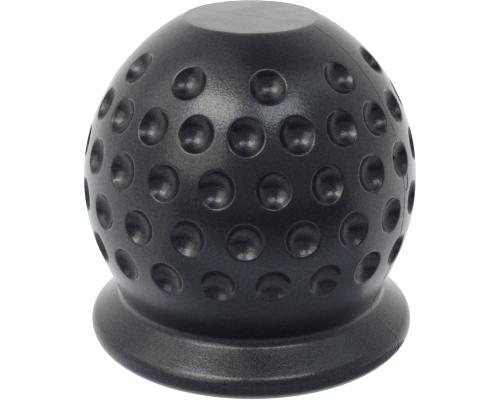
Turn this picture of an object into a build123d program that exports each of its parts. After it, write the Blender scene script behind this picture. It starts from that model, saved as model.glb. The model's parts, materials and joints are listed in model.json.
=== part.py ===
# Tow ball cover: a one-piece moulded rubber cap, shaped like a dimpled ball on a flared skirt.
# Millimetres. The base ring stands on Z = 0, the axis of the cover is Z, and the mould parting
# plane is XZ.
import os
from math import acos, atan, cos, degrees, hypot, radians, sin, sqrt, tan

from build123d import *

# Tow ball that the cover goes on, the room round it, and the rubber wall round that
tow_ball_diameter = 50.0
socket_clearance = 0.2
wall_thickness = 5.8

# Outside of the ball: an oval, a little taller than it is wide, cut flat on top. The sink is how
# far the whole oval would reach below the base. Under the dimples, where the oval has drawn in by
# the flank's draft, it goes over into a straight flank
oval_rise = 2.0
ball_sink = 2.45
flank_draft = 21.7
flat_diameter = 23.7
flat_edge_round = 1.2

# Skirt under the ball: a slope from the neck out to a rim, which is rounded from its base to the
# slope but for a short straight band
rim_overhang = 0.1
rim_height = 4.2
rim_band = 0.2
rim_base_round = 2.7
skirt_slope = 37.0
neck_round = 1.7

# Way in from below: a mouth wider than the tow ball narrows to a throat that grips under it
throat_grip = 4.0
throat_bottom_height = 9.5
throat_bottom_round = 2.0
throat_top_round = 1.0
mouth_room = 1.0
mouth_edge_round = 0.8

# Dimples: the depth is measured from the ball's own surface. The rows are a fixed turn apart, counted
# from the one round the widest part of the ball, and the top row has only every second dimple
dimple_diameter = 6.1
dimple_depth = 1.8
dimple_row_turn = 15.3
dimple_count = 20
dimple_rows_above = 3
dimple_rows_below = 1

socket_radius = tow_ball_diameter / 2 + socket_clearance
throat_radius = tow_ball_diameter / 2 - throat_grip
mouth_radius = tow_ball_diameter / 2 + mouth_room
ball_radius = socket_radius + wall_thickness
rim_radius = ball_radius + rim_overhang
flat_radius = flat_diameter / 2

ball_half_height = ball_radius + oval_rise
ball_centre_height = ball_half_height - ball_sink
flat_turn = degrees(acos(flat_radius / ball_radius))
overall_height = ball_centre_height + ball_half_height * sin(radians(flat_turn))

# The flank runs on to the base inside the skirt, so the two always meet
flank_slant = tan(radians(flank_draft))
flank_turn = degrees(atan(flank_slant * ball_half_height / ball_radius))
flank_top_height = ball_centre_height - ball_half_height * sin(radians(flank_turn))
flank_foot_radius = ball_radius * cos(radians(flank_turn)) - flank_top_height * flank_slant

# The skirt's slope runs on to the axis inside the ball, and meets the flank at the neck. The rim's
# upper rounding takes up what the base rounding and the straight band leave of its height
skirt_fall = tan(radians(skirt_slope))
skirt_peak_height = rim_height + rim_radius * skirt_fall
neck_height = (skirt_peak_height - flank_foot_radius * skirt_fall) / (1 + flank_slant * skirt_fall)
neck_radius = flank_foot_radius + neck_height * flank_slant
rim_top_reach = rim_height - rim_base_round - rim_band
rim_top_round = rim_top_reach / tan(radians(90 - skirt_slope) / 2)

# The socket's sphere meets the throat's cylinder below its centre
throat_angle = degrees(acos(throat_radius / socket_radius))
throat_top_height = ball_centre_height - sqrt(socket_radius**2 - throat_radius**2)

# A dimple is a spherical bowl: its rim is a circle of the dimple's diameter, which lies a little
# below the ball's surface because the ball is round
dimple_radius = dimple_diameter / 2
rim_sink = ball_radius - sqrt(ball_radius**2 - dimple_radius**2)
bowl_depth = dimple_depth - rim_sink
bowl_radius = (dimple_radius**2 + bowl_depth**2) / (2 * bowl_depth)
bowl_lift = bowl_radius - dimple_depth
dimple_gap = 360 / dimple_count


def bowl_centre(turns):
    """Distance from the axis and height of a bowl's centre, straight out from the oval's surface."""
    turn = radians(turns * dimple_row_turn)
    out = cos(turn) / ball_radius
    up = sin(turn) / ball_half_height
    length = hypot(out, up)
    reach = ball_radius * cos(turn) + bowl_lift * out / length
    height = ball_half_height * sin(turn) + bowl_lift * up / length
    return reach, ball_centre_height + height


# Corners of the section that are rounded
soft_corners = [
    ((flat_radius, overall_height), flat_edge_round),
    ((neck_radius, neck_height), neck_round),
    ((rim_radius, rim_height), rim_top_round),
    ((rim_radius, 0), rim_base_round),
    ((mouth_radius, 0), mouth_edge_round),
    ((throat_radius, throat_bottom_height), throat_bottom_round),
    ((throat_radius, throat_top_height), throat_top_round),
]

with BuildPart() as cover:
    with BuildSketch(Plane.XZ) as section:
        # Ball, and the skirt that it stands on
        with BuildLine():
            oval = EllipticalCenterArc(
                (0, ball_centre_height),
                ball_radius,
                ball_half_height,
                start_angle=-flank_turn,
                arc_size=flank_turn + flat_turn,
            )
            Polyline(oval @ 1, (0, overall_height), (0, 0), (flank_foot_radius, 0), oval @ 0)
        make_face()
        Polygon((0, 0), (rim_radius, 0), (rim_radius, rim_height), (0, skirt_peak_height))

        # Socket for the tow ball, the throat under it and the mouth that leads in
        with BuildLine():
            lead_in = Line((mouth_radius, 0), (throat_radius, throat_bottom_height))
            Line(lead_in @ 1, (throat_radius, throat_top_height))
            socket = CenterArc(
                (0, ball_centre_height), socket_radius, -throat_angle, 90 + throat_angle
            )
            Polyline(socket @ 1, (0, 0), lead_in @ 0)
        make_face(mode=Mode.SUBTRACT)

        for corner, radius in soft_corners:
            fillet(section.vertices().sort_by_distance(corner)[0], radius)
    revolve(axis=Axis.Z)

    # Rows of dimples, each set half a gap round from the next. The parting plane passes midway
    # between two dimples of the widest row
    for turns in range(-dimple_rows_below, dimple_rows_above + 1):
        count = dimple_count // 2 if turns == dimple_rows_above else dimple_count
        first_angle = dimple_gap if turns % 2 else dimple_gap / 2
        reach, height = bowl_centre(turns)
        with Locations((0, 0, height)):
            with PolarLocations(reach, count, start_angle=first_angle):
                Sphere(bowl_radius, mode=Mode.SUBTRACT)

cover.part.label = "tow_ball_cover"

os.makedirs("parts", exist_ok=True)
export_step(cover.part, "parts/tow_ball_cover.step")
print("volume", round(cover.part.volume), "mm3, size", cover.part.bounding_box().size)
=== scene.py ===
# %% [markdown]
# # A tow ball cover in moulded rubber
#
# The cover is a soft black cap that is pushed over the ball of a tow bar. It is moulded in one
# piece: a dimpled ball with a flat top, on a flared skirt, hollow underneath. This lesson rebuilds
# its skin as one closed mesh, adds the fine flash line that the mould leaves, gives both a satin
# rubber finish and lights them as in a white product photograph.
#
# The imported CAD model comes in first, as a fixed frame. Its box and its mounts say where
# everything is, so nothing has to be fitted by eye afterwards.

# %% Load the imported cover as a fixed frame
import json

import bmesh
import bpy
import numpy as np
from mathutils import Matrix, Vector


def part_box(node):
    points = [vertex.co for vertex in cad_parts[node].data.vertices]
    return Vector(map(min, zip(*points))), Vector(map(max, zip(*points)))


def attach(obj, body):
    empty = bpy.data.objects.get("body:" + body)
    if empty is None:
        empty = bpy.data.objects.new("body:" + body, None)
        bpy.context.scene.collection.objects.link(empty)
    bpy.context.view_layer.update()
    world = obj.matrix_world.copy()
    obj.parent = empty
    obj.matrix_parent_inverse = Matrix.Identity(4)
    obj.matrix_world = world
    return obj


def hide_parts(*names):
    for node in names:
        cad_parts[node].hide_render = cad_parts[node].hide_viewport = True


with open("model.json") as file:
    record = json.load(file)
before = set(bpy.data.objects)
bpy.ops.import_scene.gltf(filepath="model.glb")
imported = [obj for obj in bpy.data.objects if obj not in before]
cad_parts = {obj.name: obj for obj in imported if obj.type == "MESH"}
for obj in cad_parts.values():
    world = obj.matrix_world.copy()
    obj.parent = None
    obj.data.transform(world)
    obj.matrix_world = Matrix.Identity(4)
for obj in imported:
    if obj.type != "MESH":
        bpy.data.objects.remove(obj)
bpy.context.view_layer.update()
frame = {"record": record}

# %% [markdown]
# ## Main sizes
#
# A cover like this is drawn round the tow ball that it has to grip, so the centre of that ball is
# the natural place to measure from. The frame gives the centre, the throat, the rim and the
# overall height. The few sizes below that it doesn't hold are written once, in millimetres, as on
# a drawing. The ball is a little taller than it is wide, so every point of it is worked out on a
# plain round ball first and then stretched upwards by one factor.

# %% Main sizes
MM = 0.001
mounts = {mount["name"]: mount for mount in frame["record"]["mounts"]}
high_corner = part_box("tow_ball_cover")[1]

rim_radius = high_corner[0]
overall_height = high_corner[2]
centre_height = mounts["ball_socket"]["pos_m"][2]
throat_radius = mounts["throat"]["dims"]["r_mm"] * MM

ball_radius = 31.0 * MM
ball_stretch = 33.0 / 31.0
socket_radius = 25.2 * MM

camera_azimuth = np.radians(28.5)
towards_camera = np.array([np.sin(camera_azimuth), -np.cos(camera_azimuth), 0])
camera_right = np.array([np.cos(camera_azimuth), np.sin(camera_azimuth), 0])

print("ball centre", round(centre_height / MM, 2), "mm up")
print("rim radius", round(rim_radius / MM, 2), "mm")

# %% [markdown]
# ## One dimple
#
# Each dimple of the real cover is a shallow round bowl, pressed in by a round stud of the mould.
# A displacement texture could dent a fine sphere, but its square grid would cut across the rims and
# leave them ragged. Instead the half section of a dimple is drawn once, as two arcs: the bowl, and
# a much smaller arc that rounds the rim where the bowl meets the ball. Carried round the dimple's
# own axis, it gives rings of points that follow the rim exactly.

# %% Section of one dimple
dimple_radius = 3.05 * MM
dimple_depth = 1.8 * MM
rim_rounding = 0.5 * MM
bowl_rings = 7
rounding_rings = 5


def arc(centre, radius, start, end, steps):
    """Points of a circle's arc: centre + radius (cos a, sin a), with a in even steps from start to end."""
    angle = np.linspace(start, end, steps + 1)
    return np.stack([centre[0] + radius * np.cos(angle), centre[1] + radius * np.sin(angle)], axis=-1)


def dimple_section():
    """Half section of a dimple: distance from its axis, and height above the ball's crown there.

    The bowl is the circle through the deepest point and the rim. The rounding is the circle that
    touches the bowl from outside and the ball from inside, so its centre lies a bowl radius plus
    its own radius from one centre, and a ball radius less its own radius from the other.
    """
    rim_sink = ball_radius - np.sqrt(ball_radius**2 - dimple_radius**2)
    sag = dimple_depth - rim_sink
    bowl_radius = (dimple_radius**2 + sag**2) / (2 * sag)
    bowl_lift = bowl_radius - dimple_depth

    inner = ball_radius - rim_rounding
    outer = bowl_radius + rim_rounding
    height = ((inner**2 - outer**2) / (ball_radius + bowl_lift) - ball_radius + bowl_lift) / 2
    reach = np.sqrt(inner**2 - (height + ball_radius) ** 2)

    lip = np.arctan2(reach, bowl_lift - height)
    bowl = arc((0, bowl_lift), bowl_radius, -np.pi / 2, lip - np.pi / 2, bowl_rings)
    far_side = np.arctan2(bowl_lift - height, -reach)
    near_side = np.arctan2(height + ball_radius, reach)
    rounding = arc((reach, height), rim_rounding, far_side, near_side, rounding_rings)
    return np.concatenate([bowl, rounding[1:]])


section = dimple_section()
print("dimple:", len(section), "rings,", round(2 * section[-1, 0] / MM, 2), "mm over its rounded rim")

# %% [markdown]
# ## Rows of dimples
#
# The dimples stand in rows round the ball, and each row is set half a gap round from the next, like
# bricks. The mesh follows that pattern. Every dimple gets its own cell of the ball, a patch of
# azimuth and latitude, and inside the cell the rings of points change step by step from the round
# rim to the four straight borders. Neighbouring cells put the same points on a shared border, so
# all the patches can be merged into one skin later. The top row has only every second dimple, and
# its cells are twice as wide.

# %% Helpers for cells
columns = 240
cell_side_steps = 8
patches = []


def keep_patch(points, faces):
    """Store a patch of the skin: its points, one per line, and its faces as corner numbers."""
    patches.append((points.reshape(-1, 3), faces.reshape(-1, faces.shape[-1])))


def direction(azimuth, latitude):
    """Unit vector out of the ball: (cos lat cos az, cos lat sin az, sin lat)."""
    flat = np.cos(latitude)
    height = np.sin(latitude) * np.ones_like(azimuth)
    return np.stack([flat * np.cos(azimuth), flat * np.sin(azimuth), height], axis=-1)


def stretch_up(points):
    """Round ball to tall ball: the height is multiplied by the stretch, then raised to the centre."""
    return points * np.array([1, 1, ball_stretch]) + np.array([0, 0, centre_height])


def cell_border(across_steps):
    """Borders of a cell, anticlockwise from its lower left corner, as (across, up) from -1 to 1."""
    across = np.linspace(-1, 1, across_steps + 1)[:-1]
    up = np.linspace(-1, 1, cell_side_steps + 1)[:-1]
    side = np.ones(cell_side_steps)
    level = np.ones(across_steps)
    return np.concatenate(
        [
            np.stack([across, -level], axis=-1),
            np.stack([side, up], axis=-1),
            np.stack([-across, level], axis=-1),
            np.stack([-side, -up], axis=-1),
        ]
    )


def ring_faces(dimples, rings, spokes):
    """Four corners of each face between ring and ring + 1, and between spoke and spoke + 1."""
    number = np.arange(dimples * rings * spokes).reshape(dimples, rings, spokes)
    following = np.roll(number, -1, axis=2)
    inner = number[:, :-1], following[:, :-1]
    outer = number[:, 1:], following[:, 1:]
    return np.stack([inner[0], outer[0], outer[1], inner[1]], axis=-1)


# %% Cells with a dimple in the middle of each
row_turn = np.radians(15.3)
dimple_count = 20
top_row = 3
bottom_row = -1
web_rings = 4


def dimple_row(turns):
    """One row of cells. A ring point is crown + height * normal + reach * (cos b east + sin b north).

    The bearing b of a spoke is that of its border point, seen from the dimple's middle. Beyond the
    rim, a point is the mix of rim point and border point, pushed back out to the ball's surface.
    """
    count = dimple_count // 2 if turns == top_row else dimple_count
    gap = 2 * np.pi / count
    small_gap = 2 * np.pi / dimple_count
    first = small_gap if turns % 2 else small_gap / 2
    latitude = turns * row_turn
    azimuth = first + gap * np.arange(count)

    border = cell_border(columns // count)
    edge = direction(azimuth[:, None] + border[:, 0] * gap / 2, latitude + border[:, 1] * row_turn / 2)

    normal = direction(azimuth, latitude)[:, None]
    east = direction(azimuth + np.pi / 2, 0.0)[:, None]
    north = np.cross(normal, east)
    bearing = np.arctan2((edge * north).sum(-1), (edge * east).sum(-1))[..., None]
    spoke = np.cos(bearing) * east + np.sin(bearing) * north

    reach = section[None, :, 0, None, None]
    height = section[None, :, 1, None, None]
    dimple = (ball_radius + height) * normal[:, None] + reach * spoke[:, None]

    share = np.linspace(0, 1, web_rings + 1)[None, 1:, None, None]
    web = (1 - share) * dimple[:, -1:] + share * ball_radius * edge[:, None]
    web *= ball_radius / np.linalg.norm(web, axis=-1, keepdims=True)

    points = np.concatenate([dimple, web], axis=1)
    keep_patch(stretch_up(points), ring_faces(*points.shape[:3]))
    return count


dimples_made = sum(dimple_row(turns) for turns in range(bottom_row, top_row + 1))
print(dimples_made, "dimples in", top_row - bottom_row + 1, "rows")

# %% [markdown]
# ## Flat top, skirt and hollow
#
# Everything else on the cover is round about its axis, as if turned on a lathe, so it is a profile
# carried round. The Spin tool could do it, but whole arrays are quicker and keep the columns in
# line with the dimple cells. Two profiles are needed. One runs from the top row of cells up over
# the edge of the flat to the axis. The other runs from the bottom row of cells down a straight
# flank to the neck, round the rim, in through the mouth and the gripping throat, and up the socket
# to the axis again.
#
# Every corner of such a moulding is rounded, because rubber would not fill or leave a sharp one.
# Where two straight lines meet, the rounding follows from the corner. At the flat's edge, where a
# line meets the tall ball, the rounding circle's centre is found by walking along the ball and
# keeping one radius away from it, until the centre is one radius under the flat too.

# %% Helpers for profiles
def ball_point(latitude):
    """Profile of the tall ball: (R cos lat, centre + stretch R sin lat)."""
    return np.stack(
        [ball_radius * np.cos(latitude), centre_height + ball_stretch * ball_radius * np.sin(latitude)],
        axis=-1,
    )


def ball_normal(latitude):
    """Outward normal of the tall ball's profile: (cos lat, sin lat / stretch), made one long."""
    normal = np.stack([np.cos(latitude), np.sin(latitude) / ball_stretch], axis=-1)
    return normal / np.linalg.norm(normal, axis=-1, keepdims=True)


def rounded_corner(before, corner, after, radius, steps):
    """Arc that rounds a corner: it leaves each line at radius / tan(half the corner's angle)."""
    before, corner, after = np.array(before), np.array(corner), np.array(after)
    to_before = (before - corner) / np.linalg.norm(before - corner)
    to_after = (after - corner) / np.linalg.norm(after - corner)
    half = np.arccos(np.clip(to_before @ to_after, -1, 1)) / 2
    middle = to_before + to_after
    centre = corner + middle / np.linalg.norm(middle) * radius / np.sin(half)
    start = corner + to_before * radius / np.tan(half) - centre
    end = corner + to_after * radius / np.tan(half) - centre
    begin = np.arctan2(start[1], start[0])
    sweep = np.arctan2(start[0] * end[1] - start[1] * end[0], start @ end)
    return arc(centre, radius, begin, begin + sweep, steps)


def straight(start, end, steps):
    """Even points from start to end, without the two ends, which the next arcs already hold."""
    share = np.linspace(0, 1, steps + 1)[1:-1, None]
    return (1 - share) * np.array(start) + share * np.array(end)


def carry_round(profile):
    """Surface of revolution: (r cos az, r sin az, z) for every profile point and every column."""
    azimuth = np.arange(columns) * 2 * np.pi / columns
    ring = np.stack([np.cos(azimuth), np.sin(azimuth), np.zeros(columns)], axis=-1)
    points = profile[:, None, :1] * ring + profile[:, None, 1:] * np.array([0, 0, 1])
    faces = ring_faces(1, len(profile), columns)
    return points, faces


# %% Flat top
flat_edge_round = 1.2 * MM
upper_band_steps = 10
flat_rings = 6

upper_latitude = np.linspace(0, np.pi / 2, 3601)
inside_round = ball_point(upper_latitude) - flat_edge_round * ball_normal(upper_latitude)
flat_latitude = np.interp(overall_height - flat_edge_round, inside_round[:, 1], upper_latitude)
edge_normal = ball_normal(flat_latitude)
edge_centre = ball_point(flat_latitude) - flat_edge_round * edge_normal
edge_start = np.arctan2(edge_normal[1], edge_normal[0])

upper_border = (top_row + 0.5) * row_turn
upper_band = ball_point(np.linspace(upper_border, flat_latitude, upper_band_steps + 1))
flat_edge = arc(edge_centre, flat_edge_round, edge_start, np.pi / 2, steps=4)
flat_disc = straight(flat_edge[-1], (0, overall_height), flat_rings)

top_profile = np.concatenate([upper_band, flat_edge[1:], flat_disc, [[0, overall_height]]])
top_points, top_faces = carry_round(top_profile)
keep_patch(top_points, top_faces[..., ::-1])
print("flat top:", round(2 * flat_edge[-1, 0] / MM, 2), "mm across")

# %% Flank, neck and rim
rim_height = 4.2 * MM
rim_base_round = 2.7 * MM
rim_top_round = 2.6 * MM
skirt_slope = np.radians(37.0)
neck_round = 1.7 * MM

# Under the bottom row the ball goes over into a straight flank, which meets the slope at the neck
lower_border = (bottom_row - 0.5) * row_turn
flank_top = ball_point(lower_border)
flank_normal = ball_normal(lower_border)
rim_corner = np.array([rim_radius, rim_height])
slope_normal = np.array([np.sin(skirt_slope), np.cos(skirt_slope)])
neck_corner = np.linalg.solve(
    [flank_normal, slope_normal], [flank_normal @ flank_top, slope_normal @ rim_corner]
)
neck_arc = rounded_corner(flank_top, neck_corner, rim_corner, neck_round, steps=12)
flank = np.concatenate([[flank_top], straight(flank_top, neck_arc[0], steps=9)])

# The slope ends at the rim, which is rounded above and below
rim_foot = (rim_radius, 0)
rim_top_arc = rounded_corner(neck_arc[-1], rim_corner, rim_foot, rim_top_round, steps=9)
rim_base_arc = rounded_corner(rim_corner, rim_foot, (0, 0), rim_base_round, steps=10)
print("neck radius", round(neck_arc[:, 0].min() / MM, 2), "mm")

# %% Mouth, throat and socket
mouth_radius = 26.0 * MM
mouth_round = 0.8 * MM
throat_bottom = 9.5 * MM
throat_bottom_round = 2.0 * MM
throat_top_round = 1.0 * MM

mouth_corner = (mouth_radius, 0)
lead_in_end = (throat_radius, throat_bottom)
throat_end = (throat_radius, centre_height - np.sqrt(socket_radius**2 - throat_radius**2))
mouth_arc = rounded_corner(rim_foot, mouth_corner, lead_in_end, mouth_round, steps=5)
lower_arc = rounded_corner(mouth_corner, lead_in_end, throat_end, throat_bottom_round, steps=5)

# The throat's upper edge is rounded between its wall and the round socket
lip_reach = throat_radius + throat_top_round
lip_drop = np.sqrt((socket_radius + throat_top_round) ** 2 - lip_reach**2)
lip_centre = np.array([lip_reach, centre_height - lip_drop])
lip_turn = np.arctan2(lip_drop, lip_reach)
throat_lip = arc(lip_centre, throat_top_round, np.pi, np.pi - lip_turn, steps=4)
socket = arc((0, centre_height), socket_radius, -lip_turn, np.pi / 2, steps=24)
socket[-1, 0] = 0.0
print("socket", round(2 * socket[:, 0].max() / MM, 2), "mm across")

# %% Skirt and hollow in one profile
skirt_profile = np.concatenate(
    [
        flank,
        neck_arc,
        straight(neck_arc[-1], rim_top_arc[0], steps=4),
        rim_top_arc,
        rim_base_arc,
        straight(rim_base_arc[-1], mouth_arc[0], steps=3),
        mouth_arc,
        straight(mouth_arc[-1], lower_arc[0], steps=6),
        lower_arc,
        straight(lower_arc[-1], throat_lip[0], steps=5),
        throat_lip,
        socket[1:],
    ]
)
skirt_points, skirt_faces = carry_round(skirt_profile)
keep_patch(skirt_points, skirt_faces)
print("skirt and hollow:", len(skirt_profile), "rings")

# %% [markdown]
# ## Soft set
#
# Rubber never sets quite true. On the photographed cover the shoulders swell a little, the flat
# leans towards the viewer, and the top and the skirt sit a hair to one side of the ball. A lattice
# could bend the finished mesh, but then the parting line would have to be bent along with it. A
# function of the height, used on the points of both, moves them alike, by a few tenths of a
# millimetre.

# %% Soft set
set_height = np.array([2, 12, 22, 36, 46, 54, 58, 61]) * MM
set_sideways = np.array([0.14, 0.02, -0.1, -0.12, 0.0, 0.1, 0.1, 0.06]) * MM
set_swell = np.array([0, 0, 0.02, 0.04, 0.07, 0.15, 0.25, 0.36]) * MM
flat_lean = 0.029
lean_start = ball_point(upper_border)[1]
lean_end = ball_point(flat_latitude)[1]


def settle(points):
    """Shift sideways and away from the ball's centre by amounts set at a few heights, and lean the top.

    The lean lowers a point by lean * its way towards the camera, in full on the flat and not at all
    below the last cells.
    """
    height = points[..., 2:]
    from_centre = points - np.array([0, 0, centre_height])
    outward = from_centre / np.linalg.norm(from_centre, axis=-1, keepdims=True)
    share = np.clip((height - lean_start) / (lean_end - lean_start), 0, 1)
    drop = flat_lean * share * (points @ towards_camera)[..., None] * np.array([0, 0, 1])
    swell = np.interp(height, set_height, set_swell) * outward
    sideways = np.interp(height, set_height, set_sideways) * camera_right
    return points + swell - drop + sideways


print("soft set: swell of up to", round(set_swell.max() / MM, 2), "mm, lean of", flat_lean)

# %% [markdown]
# ## One closed skin
#
# The patches meet point on point, so merging the doubles by distance closes every border, and the
# poles of the bowls, the flat and the socket as well. The count of open edges afterwards proves
# it: a moulded piece is a closed volume, and it should come out as zero.

# %% Join the patches
merge_distance = 0.002 * MM


def join_patches(name, point_sets, face_sets):
    """All patches as one mesh: each patch's corner numbers are moved on by the points before it."""
    starts = np.cumsum([0] + [len(points) for points in point_sets[:-1]])
    corners = np.concatenate([faces + start for faces, start in zip(face_sets, starts)])
    mesh = bpy.data.meshes.new(name)
    mesh.from_pydata(np.concatenate(point_sets).tolist(), [], corners.tolist())

    skin = bmesh.new()
    skin.from_mesh(mesh)
    bmesh.ops.remove_doubles(skin, verts=skin.verts, dist=merge_distance)
    bmesh.ops.recalc_face_normals(skin, faces=skin.faces)
    open_edges = sum(not edge.is_manifold for edge in skin.edges)
    volume = skin.calc_volume(signed=True)
    skin.to_mesh(mesh)
    skin.free()
    mesh.shade_smooth()
    triangles = sum(len(face.vertices) - 2 for face in mesh.polygons)
    print(name, triangles, "triangles,", open_edges, "open edges,", round(volume / MM**3, 1), "mm3")

    piece = bpy.data.objects.new(name, mesh)
    bpy.context.scene.collection.objects.link(piece)
    return piece


patch_points, patch_faces = zip(*patches)
cover = join_patches("dimpled_cover", [settle(points) for points in patch_points], patch_faces)

# %% [markdown]
# ## Parting line
#
# The mould opens in two halves, and a hair of rubber is squeezed into the gap between them. On the
# real cover it stays as a fine raised line that runs up one side, through the dimples that lie on
# it, across the flat top and down the other side. A bump texture could draw such a line, but not
# the little tongue and burrs of rubber that the trimming left on it, so it is a thin strip of its
# own: a low rounded section carried along the cover's outline in the parting plane.

# %% Path of the parting line
flash_spacing = 0.25 * MM


def dimple_dip(latitude):
    """Section of a dimple in the parting plane: (R + height) out + reach onward, over both halves."""
    reach = np.concatenate([-section[:0:-1, 0], section[:, 0]])[:, None]
    height = np.concatenate([section[:0:-1, 1], section[:, 1]])[:, None]
    out = np.array([np.cos(latitude), np.sin(latitude)])
    onward = np.array([-np.sin(latitude), np.cos(latitude)])
    return (ball_radius + height) * out + reach * onward


def even_steps(outline):
    """Points at even distances along an outline, from the running sum of its pieces' lengths."""
    run = np.concatenate([[0], np.cumsum(np.linalg.norm(np.diff(outline, axis=0), axis=1))])
    place = np.linspace(0, run[-1], int(run[-1] / flash_spacing))
    return np.stack([np.interp(place, run, column) for column in outline.T], axis=-1)


def parting_outline():
    """Outline from the base to the axis. The rows one turn below and above the widest one dip it."""
    half = np.arctan2(section[-1, 0], ball_radius + section[-1, 1])
    round_ball = np.concatenate(
        [
            arc((0, 0), ball_radius, lower_border, -row_turn - half, steps=4),
            dimple_dip(-row_turn)[1:],
            arc((0, 0), ball_radius, -row_turn + half, row_turn - half, steps=30)[1:],
            dimple_dip(row_turn)[1:],
            arc((0, 0), ball_radius, row_turn + half, flat_latitude, steps=60)[1:],
        ]
    )
    tall_ball = round_ball * np.array([1, ball_stretch]) + np.array([0, centre_height])
    skirt = np.concatenate([rim_base_arc[::-1], rim_top_arc[::-1], neck_arc[::-1]])
    return even_steps(np.concatenate([skirt, tall_ball, flat_edge[1:], [[0, overall_height]]]))


side_outline = parting_outline()
other_side = side_outline[-2::-1] * np.array([-1, 1])
flash_path = np.concatenate([side_outline, other_side])
print("parting line:", len(flash_path), "stations")

# %% [markdown]
# The line's section is only six points, sunk a little into the skin at both edges. Its height
# wanders along the way, as flash does, and on the flat it is nearly trimmed away. On the side that
# the photograph shows, a burr of rubber sits in one dimple, and under that dimple the trimming has
# left a small tongue, which a second line goes round.

# %% Strip along a path
flash_half_width = 0.12 * MM
line_taper = 1.0 * MM
strip_lift = np.array([-0.5, 0.9, 1.0, 0.9, -0.5, -1.5])
strip_across = np.array([-1, -0.5, 0, 0.5, 1, 0])


def raised_line(path, normal, height):
    """Strip along a path: path + lift * normal + offset * across, thinned to nothing at both ends."""
    run = np.gradient(path, axis=0)
    across = np.cross(normal, run)
    across /= np.linalg.norm(across, axis=1, keepdims=True)
    place = np.arange(len(path)) * flash_spacing
    ends = np.clip(np.minimum(place, place[-1] - place) / line_taper, 0, 1)[:, None]
    lift = ends * height[:, None] * strip_lift
    offset = ends * flash_half_width * strip_across
    points = path[:, None] + lift[..., None] * normal[:, None] + offset[..., None] * across[:, None]
    return settle(points).reshape(-1, 3), ring_faces(1, *points.shape[:2]).reshape(-1, 4)


# %% Flash and tongue
flash_height = 0.04 * MM
flash_on_flat = 0.2
flash_wander = 0.35
wander_rates = np.array([1.9, 0.7]) / MM
flat_margin = 0.1 * MM
burr_height = 0.7 * MM
burr_length = 0.6 * MM
tongue_across = np.array([0, 0.5, 1.1, 1.5, 1.75, 2.0]) * MM
tongue_latitude = np.radians([5.0, 4.7, 4.9, 5.6, 7.5, 10.7])


def flash_line():
    """Line along the outline in the parting plane, whose normal is a quarter turn from its run.

    Its height wanders with the product of two sines, and the burr is a bell curve on top of it.
    """
    run = np.gradient(flash_path, axis=0)
    run /= np.linalg.norm(run, axis=1, keepdims=True)
    level = np.zeros(len(flash_path))
    path = np.stack([flash_path[:, 0], level, flash_path[:, 1]], axis=-1)
    normal = np.stack([run[:, 1], level, -run[:, 0]], axis=-1)

    place = np.arange(len(flash_path)) * flash_spacing
    wander = np.sin(place[:, None] * wander_rates).prod(axis=1)
    height = flash_height * (1 + flash_wander * wander)
    height *= np.where(flash_path[:, 1] > overall_height - flat_margin, flash_on_flat, 1)

    from_burr = (flash_path[:, 1] - ball_point(row_turn)[1]) / burr_length
    burr = np.where(flash_path[:, 0] > 0, burr_height * np.exp(-(from_burr**2)), 0)
    return raised_line(path, normal, height + burr)


def tongue_line():
    """Line on the ball round the tongue: a few points across and up, then even steps between them."""
    outline = even_steps(np.stack([tongue_across, ball_radius * tongue_latitude], axis=-1))
    latitude = outline[:, 1] / ball_radius
    normal = direction(outline[:, 0] / (ball_radius * np.cos(latitude)), latitude)
    return raised_line(stretch_up(ball_radius * normal), normal, np.full(len(normal), 2 * flash_height))


line_points, line_faces = zip(flash_line(), tongue_line())
flash = join_patches("parting_line", line_points, line_faces)

# %% [markdown]
# ## Black rubber
#
# Moulded rubber is nearly black, a little blue, and shinier than it looks. What makes it read as
# rubber is in its reflections, so the colour is almost even and the surface carries the detail. The
# mould leaves a fine grain, a few tenths of a millimetre across, that breaks every highlight into
# sparkles, and the skin is slightly wavy and not equally glossy all over. Noise textures on Object
# coordinates give all three at their real scale, on every side of the cover, with no seams. The
# grain both roughens the surface and makes it reflect a little more or less from speck to speck,
# and a thin, smoother coat over it stands for the skin that forms against the polished mould.

# %% Helpers for materials
noise_middle = (0.3, 0.7)


def noise(tree, place, size, detail):
    """A noise texture whose blotches are about one size across: its scale is one over that size."""
    texture = tree.nodes.new("ShaderNodeTexNoise")
    texture.inputs["Scale"].default_value = 1 / size
    texture.inputs["Detail"].default_value = detail
    tree.links.new(place.outputs["Object"], texture.inputs["Vector"])
    return texture.outputs["Fac"]


def raise_by(tree, height, depth, below=None):
    """Bump node that lifts the surface by a height from 0 to 1 times a depth, on top of another."""
    bump = tree.nodes.new("ShaderNodeBump")
    bump.inputs["Strength"].default_value = 1.0
    bump.inputs["Distance"].default_value = depth
    tree.links.new(height, bump.inputs["Height"])
    if below is not None:
        tree.links.new(below, bump.inputs["Normal"])
    return bump.outputs["Normal"]


def between(tree, value, old_range, new_range):
    """Map Range node: a value from the old range is carried over in proportion to the new one."""
    change = tree.nodes.new("ShaderNodeMapRange")
    for name, limit in zip(("From Min", "From Max", "To Min", "To Max"), (*old_range, *new_range)):
        change.inputs[name].default_value = limit
    tree.links.new(value, change.inputs["Value"])
    return change.outputs["Result"]


def along(tree, place, axis):
    """Distance of a point along an axis, from the middle of the cover's base: a dot product."""
    distance = tree.nodes.new("ShaderNodeVectorMath")
    distance.operation = "DOT_PRODUCT"
    distance.inputs[1].default_value = axis
    tree.links.new(place.outputs["Object"], distance.inputs[0])
    return distance.outputs["Value"]


def combine(tree, operation, first, second):
    """Math node: two values added or multiplied, and kept between 0 and 1."""
    node = tree.nodes.new("ShaderNodeMath")
    node.operation = operation
    node.use_clamp = True
    tree.links.new(first, node.inputs[0])
    tree.links.new(second, node.inputs[1])
    return node.outputs["Value"]
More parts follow.
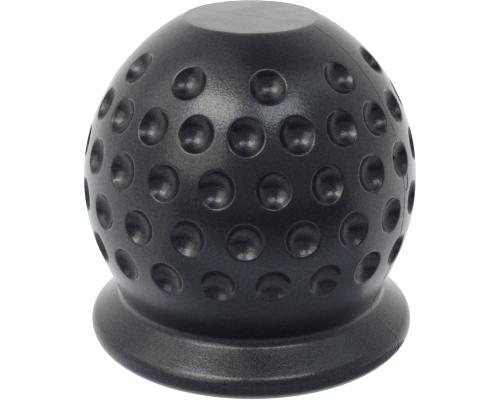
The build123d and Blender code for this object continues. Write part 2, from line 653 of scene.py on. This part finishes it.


# %% [markdown]
# The flat is the only part that gets handled and set down on, and it alone is not black. A painted
# sheen, paler at the back left and on the right with a darker band between, stands in for light
# glancing off it, and blotchy rub marks lie over that. An image could hold such marks, but a few
# ramps and a noise keep them sharp at any distance.

# %% Painted sheen and rub marks on the flat
# Colour of the painted sheen on the flat, with rub marks in it
sheen_and_rub_colour = (0.055, 0.055, 0.055, 1)
sheen_and_rub_below_flat = 0.4 * MM
sheen_axis = 0.9 * camera_right + 0.44 * towards_camera
behind_axis = -0.85 * towards_camera - 0.5 * camera_right
left_ramp = np.array([-5, -1]) * MM
behind_ramp = np.array([0, 6]) * MM
right_ramp = np.array([-1, 5]) * MM
right_sheen = 0.6
blotch_size = 4.0 * MM
blotch_range = (-0.4, 0.4)


def sheen_and_rub_on_flat(tree, place):
    """How much painted sheen and rub a point gets: on the flat * (left * behind + right + blotches), each
    one a ramp.
    """
    height = along(tree, place, (0, 0, 1))
    on_flat = between(tree, height, (overall_height - sheen_and_rub_below_flat, overall_height), (0, 1))
    aside = along(tree, place, sheen_axis)
    left = between(tree, aside, left_ramp, (1, 0))
    right = between(tree, aside, right_ramp, (0, right_sheen))
    behind = between(tree, along(tree, place, behind_axis), behind_ramp, (0, 1))
    blotches = between(tree, noise(tree, place, blotch_size, detail=3), noise_middle, blotch_range)

    sides = combine(tree, "ADD", combine(tree, "MULTIPLY", left, behind), right)
    return combine(tree, "MULTIPLY", on_flat, combine(tree, "ADD", sides, blotches))


# %% [markdown]
# The finish is then laid up as the real skin is: waves first, the grain on top of them, and the
# smooth coat over both. A baked picture could hold the sum, but it would need seams and would blur
# close up, and the nodes are worked out afresh wherever light falls.

# %% Rubber finish
rubber_colour = (0.004, 0.0045, 0.0075, 1)
rubber_ior = 1.5
grain_size = 0.33 * MM
grain_depth = 0.02 * MM
speckle_range = (0.2, 0.48)
wave_size = 5.0 * MM
wave_depth = 0.06 * MM
gloss_size = 10.0 * MM
gloss_range = (0.275, 0.31)
skin_weight = 0.32
skin_roughness = 0.14
skin_grain_depth = 0.028 * MM


def rubber_finish():
    """Near-black rubber: waves with grain on top, specks and patches of other gloss, and a thin coat."""
    material = bpy.data.materials.new("black_rubber")
    material.use_nodes = True
    tree = material.node_tree
    shader = tree.nodes["Principled BSDF"]
    shader.inputs["IOR"].default_value = rubber_ior
    place = tree.nodes.new("ShaderNodeTexCoord")

    colour = tree.nodes.new("ShaderNodeMix")
    colour.data_type = "RGBA"
    colour.inputs["A"].default_value = rubber_colour
    colour.inputs["B"].default_value = sheen_and_rub_colour
    # The flat's pale colour is a painted sheen, with blotchy rub marks
    tree.links.new(sheen_and_rub_on_flat(tree, place), colour.inputs["Factor"])
    tree.links.new(colour.outputs["Result"], shader.inputs["Base Color"])

    waves = raise_by(tree, noise(tree, place, wave_size, detail=2), wave_depth)
    grain = noise(tree, place, grain_size, detail=1)
    tree.links.new(raise_by(tree, grain, grain_depth, waves), shader.inputs["Normal"])
    tree.links.new(raise_by(tree, grain, skin_grain_depth, waves), shader.inputs["Coat Normal"])
    shader.inputs["Coat Weight"].default_value = skin_weight
    shader.inputs["Coat Roughness"].default_value = skin_roughness

    speckle = between(tree, grain, noise_middle, speckle_range)
    tree.links.new(speckle, shader.inputs["Specular IOR Level"])
    gloss = between(tree, noise(tree, place, gloss_size, detail=3), noise_middle, gloss_range)
    tree.links.new(gloss, shader.inputs["Roughness"])
    return material


rubber = rubber_finish()
for piece in (cover, flash):
    piece.data.materials.append(rubber)
    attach(piece, "root")
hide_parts("tow_ball_cover")
print("rubber:", len(rubber.node_tree.nodes), "nodes, on", cover.name, "and", flash.name)

# %% [markdown]
# ## Camera
#
# The camera stands a little above the cover and looks down on it, from about a hand's length away
# through a long lens. Its place was worked out from the outline of the cover and the middles of
# its dimples in the photograph.

# %% Camera
camera_distance = 222.4 * MM
camera_elevation = np.radians(20.4)
aim_side = -0.11 * MM
aim_height = 25.96 * MM
focal_pixels = 1181.0
picture_width = 500
sensor_width = 36.0
nearest_shown = 10.0 * MM

ball_centre = np.array([0, 0, centre_height])


def round_the_ball(turn, elevation, distance):
    """Point round the ball's centre: turned right from the camera's bearing, then raised."""
    level = np.cos(turn) * towards_camera + np.sin(turn) * camera_right
    return Vector(ball_centre + distance * (np.cos(elevation) * level + [0, 0, np.sin(elevation)]))


def look_at(thing, target):
    """Turn a camera or a light so that its own -Z points at a target."""
    thing.rotation_euler = (Vector(target) - thing.location).to_track_quat("-Z", "Y").to_euler()


camera_data = bpy.data.cameras.new("photo_camera")
camera_data.sensor_width = sensor_width
camera_data.lens = focal_pixels * sensor_width / picture_width
camera_data.clip_start = nearest_shown
camera = bpy.data.objects.new("photo_camera", camera_data)
bpy.context.scene.collection.objects.link(camera)
camera.location = round_the_ball(0, camera_elevation, camera_distance)
look_at(camera, aim_side * camera_right + [0, 0, aim_height])
bpy.context.scene.camera = camera
bpy.context.scene.view_settings.view_transform = "Standard"
print("camera at", [round(value / MM, 1) for value in camera.location], "mm")

# %% [markdown]
# ## White studio
#
# A black glossy thing shows mostly what stands round it, so its studio is made of large plain
# shapes. Up on the left is a strong softbox with a weaker edge and wing beside it, up on the right a
# smaller, cooler one with a dark gap between the two, and above each a weak veil of light. A
# reflector stands low on the left. Glowing sheets could stand for all of them, but area lights give
# less noise, and each is set by what matters to the reflection: where it is seen from the ball, how
# many degrees it covers there, and how bright it is.

# %% Softboxes
light_distance = 0.6
warm_white = (0.99, 1.01, 0.955)
cool_white = (0.92, 0.99, 1.09)


def softbox(name, turn, elevation, wide, high, radiance, colour):
    """Area light facing the ball, wide by high degrees as seen from there.

    A side is 2 * distance * tan(half its angle), and the power is radiance * pi * area, in watts.
    """
    width, height = 2 * light_distance * np.tan(np.radians([wide, high]) / 2)
    data = bpy.data.lights.new(name, "AREA")
    data.shape = "RECTANGLE"
    data.size = width
    data.size_y = height
    data.energy = radiance * np.pi * width * height
    data.color = colour
    light = bpy.data.objects.new(name, data)
    bpy.context.scene.collection.objects.link(light)
    light.location = round_the_ball(np.radians(turn), np.radians(elevation), light_distance)
    look_at(light, ball_centre)
    light.visible_camera = False
    print(name, round(data.energy, 2), "W")


# Name, degrees to the right and up, degrees wide and high, radiance, colour
softbox("key_softbox", -39, 53.5, 29, 17, 8.9, warm_white)
softbox("key_edge", -47, 40, 26, 9, 3.2, warm_white)
softbox("key_wing", -84, 47, 30, 36, 1.5, warm_white)
softbox("left_veil", -75, 74, 40, 22, 0.7, cool_white)
softbox("right_softbox", 31, 52, 26, 12, 6.4, cool_white)
softbox("right_veil", 38, 62, 80, 14, 1.0, cool_white)
softbox("low_reflector", -41, 26, 36, 26, 2.0, warm_white)

# %% [markdown]
# ## Backdrop
#
# Behind the cover is a lit white background, and round the camera the room is dim, as it is on the
# photographer's side, which keeps the front of the ball black. Painted walls could stand for both,
# but the world's own light needs no walls: its strength is a formula of the direction alone, pale
# behind and dim in front and overhead.

# %% Backdrop
backdrop_middle = 0.87
backdrop_swing = 0.53
backdrop_side = 0.08
overhead_fall = 0.87
camera_white = 1.2
cool_middle = 0.4
cool_swing = 1.5


def room_light():
    """World light: (middle - swing * towards camera - side * rightwards) * (1 - fall * up³).

    Its colour goes from white to cool by middle + swing * (towards camera + up). What the camera
    itself sees of it is never less than a plain white.
    """
    world = bpy.data.worlds.new("white_room")
    bpy.context.scene.world = world
    world.use_nodes = True
    nodes, links = world.node_tree.nodes, world.node_tree.links
    direction_in = nodes.new("ShaderNodeTexCoord").outputs["Generated"]

    def calculate(operation, *values):
        """Math node on plain numbers and on the results of other nodes."""
        node = nodes.new("ShaderNodeMath")
        node.operation = operation
        for entry, value in zip(node.inputs, values):
            if isinstance(value, float):
                entry.default_value = value
            else:
                links.new(value, entry)
        return node.outputs["Value"]

    def share_along(axis):
        """How far the direction of the light points along an axis: a dot product."""
        node = nodes.new("ShaderNodeVectorMath")
        node.operation = "DOT_PRODUCT"
        node.inputs[1].default_value = axis
        links.new(direction_in, node.inputs[0])
        return node.outputs["Value"]

    swing = backdrop_swing * towards_camera + backdrop_side * camera_right
    level_light = calculate("SUBTRACT", backdrop_middle, share_along(swing))
    up = share_along((0, 0, 1))
    fall = calculate("MULTIPLY_ADD", calculate("POWER", up, 3.0), -overhead_fall, 1.0)
    strength = calculate("MULTIPLY", level_light, fall)
    seen = nodes.new("ShaderNodeLightPath").outputs["Is Camera Ray"]
    shown = calculate("MAXIMUM", strength, calculate("MULTIPLY", seen, camera_white))
    links.new(shown, nodes["Background"].inputs["Strength"])

    tint = nodes.new("ShaderNodeMix")
    tint.data_type = "RGBA"
    tint.inputs["A"].default_value = (1, 1, 1, 1)
    tint.inputs["B"].default_value = (*cool_white, 1)
    coolness = share_along(cool_swing * (towards_camera + np.array([0, 0, 1])))
    links.new(calculate("ADD", coolness, cool_middle), tint.inputs["Factor"])
    links.new(tint.outputs["Result"], nodes["Background"].inputs["Color"])


room_light()
print("backdrop strength in front", round(backdrop_middle - backdrop_swing, 2))
print("backdrop strength behind", round(backdrop_middle + backdrop_swing, 2))

# %% [markdown]
# ## Table
#
# The cover stands on a light table, which glows by itself, so it stays white and takes hardly any
# shadow. A white floor under strong lamps would look much the same, but its shadows would have to be
# lit away. A glow that grows towards the back, set by a ramp, does it at once.

# %% Helper for flat sheets
sheet_roughness = 0.9


def flat_sheet(name, corners):
    """All corners as one matt face."""
    mesh = bpy.data.meshes.new(name)
    mesh.from_pydata(corners.tolist(), [], [range(len(corners))])
    sheet = bpy.data.objects.new(name, mesh)
    bpy.context.scene.collection.objects.link(sheet)
    material = bpy.data.materials.new(name)
    material.use_nodes = True
    shader = material.node_tree.nodes["Principled BSDF"]
    shader.inputs["Roughness"].default_value = sheet_roughness
    shader.inputs["Specular IOR Level"].default_value = 0.0
    mesh.materials.append(material)
    print(name, "with", len(corners), "corners")
    return sheet


# %% Table
table_half = 1.5
table_gap = 0.05 * MM
table_colour = (0.1, 0.1, 0.1, 1)
glow_colour = (0.97, 1, 1.03, 1)
glow_reach = np.array([-80, 80]) * MM
glow_range = (1.6, 0.88)


def white_table():
    """Table just under the base, with a glow of its own that grows from the front to the back."""
    square = np.array([[-1, -1, 0], [1, -1, 0], [1, 1, 0], [-1, 1, 0]])
    table = flat_sheet("floor", table_half * square - np.array([0, 0, table_gap]))
    tree = table.active_material.node_tree
    shader = tree.nodes["Principled BSDF"]
    shader.inputs["Base Color"].default_value = table_colour
    shader.inputs["Emission Color"].default_value = glow_colour
    forward = along(tree, tree.nodes.new("ShaderNodeTexCoord"), towards_camera)
    glow = between(tree, forward, glow_reach, glow_range)
    tree.links.new(glow, shader.inputs["Emission Strength"])


white_table()

# %% [markdown]
# ## Flag of painted shade
#
# In front of the cover lies a bluish card, cut out round the rim, which widens away from it. Its
# greys are painted shade: it stands for the table in front as the rubber reflects it, with the
# cover's contact shadow painted darker by the rim in front, one paler band, and dimmer beyond, so
# that it keeps the lower half of the ball dark like a photographer's flag. The camera doesn't see
# it. A darker table would do the same, but it would show. A colour ramp holds its greys.

# %% Flag of painted shade
flag_lift = 0.2 * MM
flag_near = 31.3 * MM
flag_turns = np.radians(np.linspace(-52, 74, 25))[:, None]
flag_far = 0.8
flag_spread = np.array([2.2, -1.1])
flag_slant = 0.35
flag_tint = np.array([0.92, 0.95, 1.11])
flag_distance = np.array([12, 23, 31, 42, 56, 90, 130, 250]) * MM
# Greys of painted shade: darker by the rim in front as contact shadow, one paler band, dimmer beyond
flag_painted_shade = np.array([0.9, 0.6, 0.39, 0.41, 0.74, 0.29, 0.12, 0.02])


def painted_shade_flag():
    """Card in front: an arc round the rim, then straight out to two far corners.

    Its painted shade is read from a ramp by the distance forwards + slant * rightwards.
    """
    near_edge = flag_near * (np.cos(flag_turns) * towards_camera + np.sin(flag_turns) * camera_right)
    far_edge = flag_far * (towards_camera + np.outer(flag_spread, camera_right))
    corners = np.concatenate([near_edge, far_edge])
    flag = flat_sheet("painted_shade_flag", corners + np.array([0, 0, flag_lift]))
    flag.visible_camera = False
    flag.visible_shadow = False

    tree = flag.active_material.node_tree
    shade = tree.nodes.new("ShaderNodeValToRGB")
    stops = shade.color_ramp.elements
    while len(stops) < len(flag_painted_shade):
        stops.new(1.0)
    # Each stop holds a grey of painted shade
    for stop, distance, grey in zip(stops, flag_distance / flag_distance[-1], flag_painted_shade):
        stop.position = distance
        stop.color = (*(grey * flag_tint), 1)

    fade_axis = (towards_camera + flag_slant * camera_right) / flag_distance[-1]
    fade = along(tree, tree.nodes.new("ShaderNodeTexCoord"), fade_axis)
    tree.links.new(fade, shade.inputs["Fac"])
    tree.links.new(shade.outputs["Color"], tree.nodes["Principled BSDF"].inputs["Base Color"])


painted_shade_flag()

# %% [markdown]
# ## Pieces made
#
# The cover and its parting line are the two pieces made here, and their names are printed at the end.

# %% Pieces made
print("handed over:", cover.name, "and", flash.name)
